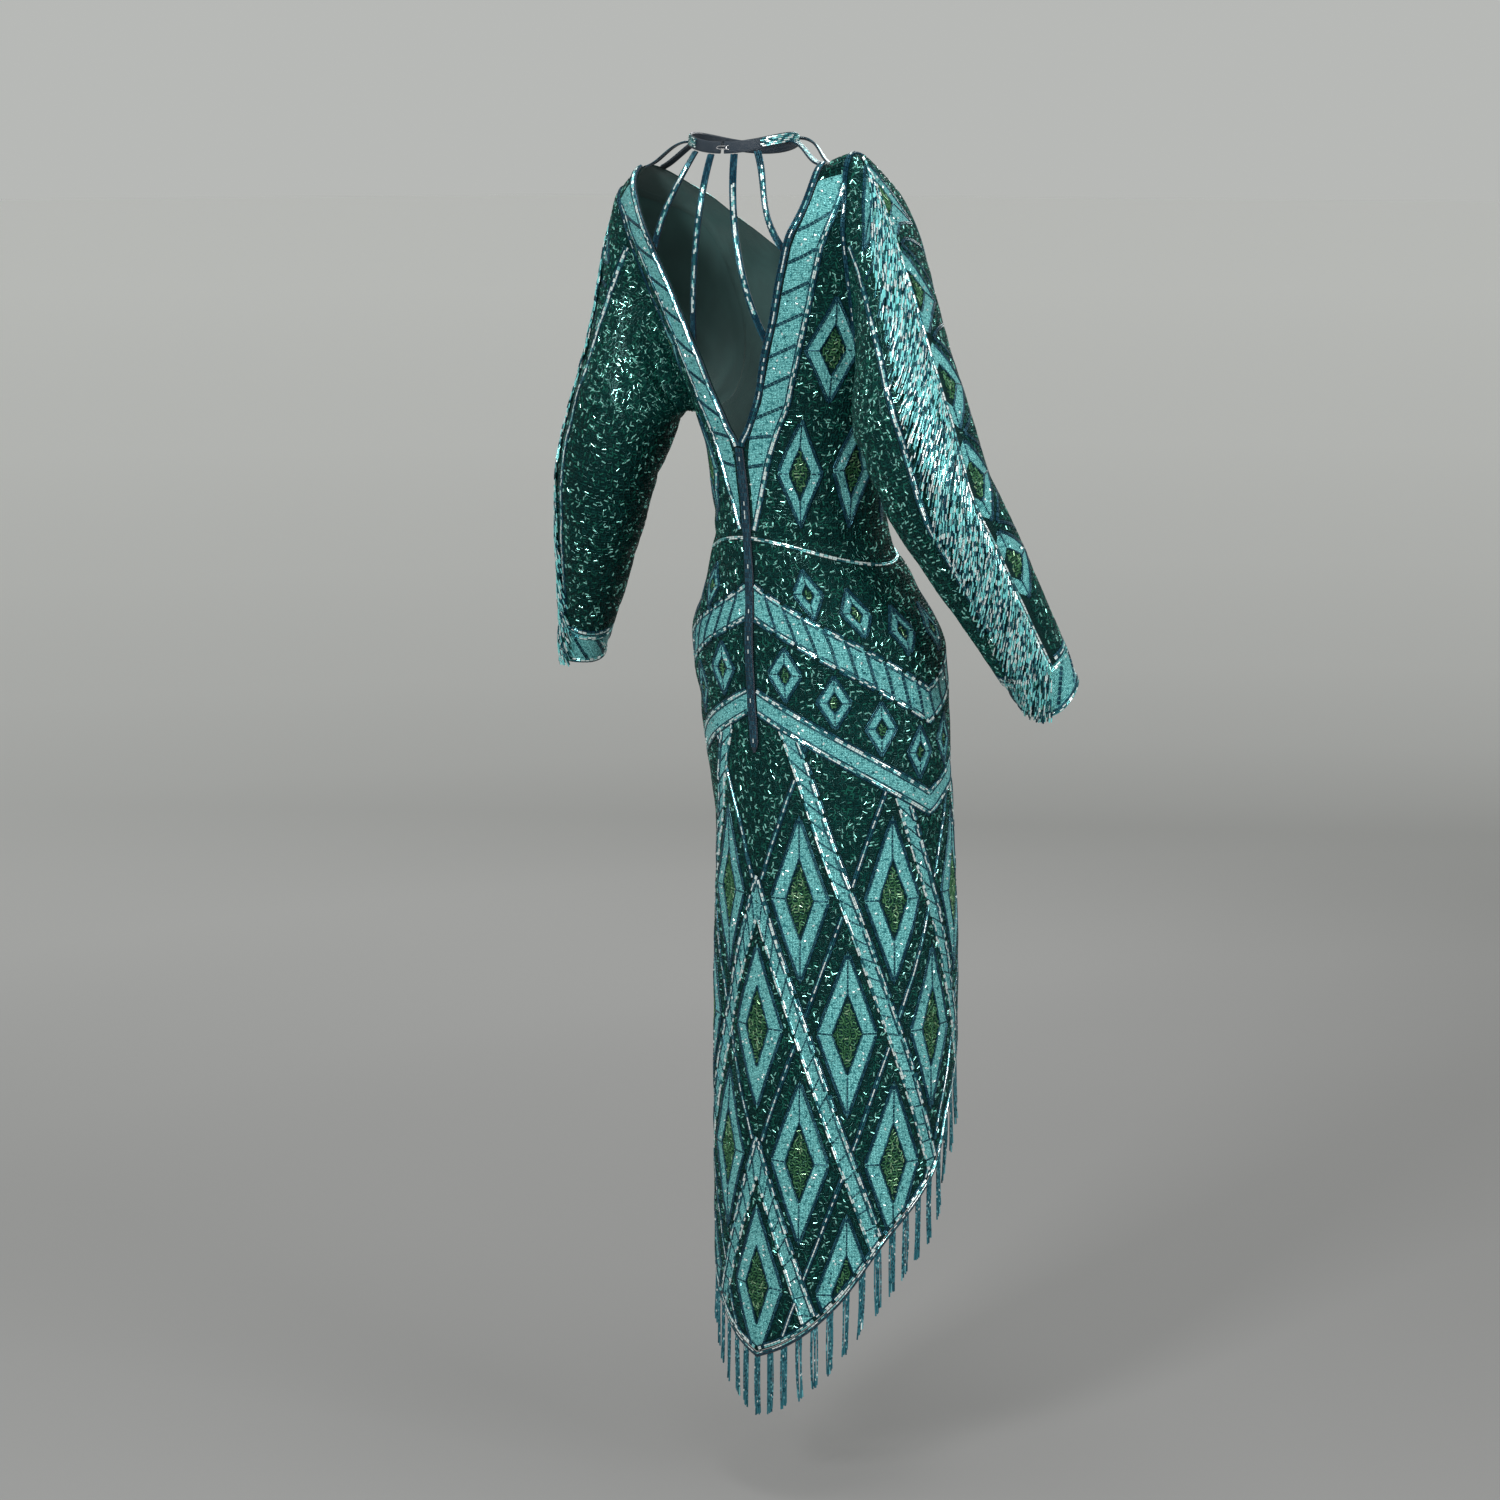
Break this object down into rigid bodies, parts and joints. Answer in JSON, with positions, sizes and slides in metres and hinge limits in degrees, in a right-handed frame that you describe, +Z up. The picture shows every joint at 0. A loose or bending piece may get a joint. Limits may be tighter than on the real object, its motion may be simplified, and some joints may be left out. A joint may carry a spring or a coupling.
{
  "type": "beaded gown",
  "caption": "Long beaded evening gown with a plunging strapped back, long sleeves with fringes, and a fringed hem that falls lower behind, worn and hollow.",
  "frame": {"origin": "the middle of the neck opening at collar height, where the wearer holds the gown", "axes": "+Z up along the body, -Y the front, +Y the back, +X the wearer's left"},
  "size_m": [0.708, 0.2964, 1.4448],
  "materials": {
    "beaded_cloth": "dark teal cloth covered with short glossy bugle beads in all directions",
    "turquoise_cloth": "turquoise seed beads sewn close together",
    "navy_satin": "navy satin band, softly shining",
    "bead_band": "band sewn with rows of silver-lined and turquoise bugle beads on navy",
    "fringe_beads": "strings of glossy teal, navy and silver beads",
    "bright_steel": "bright plated wire"
  },
  "bodies": {
    "root": {"back_left": "beaded_cloth", "back_right": "beaded_cloth", "binding_back_left": "bead_band", "binding_back_right": "bead_band", "collar": "navy_satin", "collar_hook": "bright_steel", "cuff_left": "turquoise_cloth", "cuff_right": "turquoise_cloth", "fringe_hem": "fringe_beads", "fringe_lower_sleeve_left": "fringe_beads", "fringe_lower_sleeve_right": "fringe_beads", "fringe_upper_sleeve_left": "fringe_beads", "fringe_upper_sleeve_right": "fringe_beads", "front": "beaded_cloth", "placket": "navy_satin", "sleeve_left": "beaded_cloth", "sleeve_right": "beaded_cloth", "strap_back_inner_left": "bead_band", "strap_back_inner_right": "bead_band", "strap_back_outer_left": "bead_band", "strap_back_outer_right": "bead_band", "strap_fore_left": "bead_band", "strap_fore_right": "bead_band", "strap_shoulder_left": "bead_band", "strap_shoulder_right": "bead_band", "zip_tape": "navy_satin"}
  },
  "joints": []
}
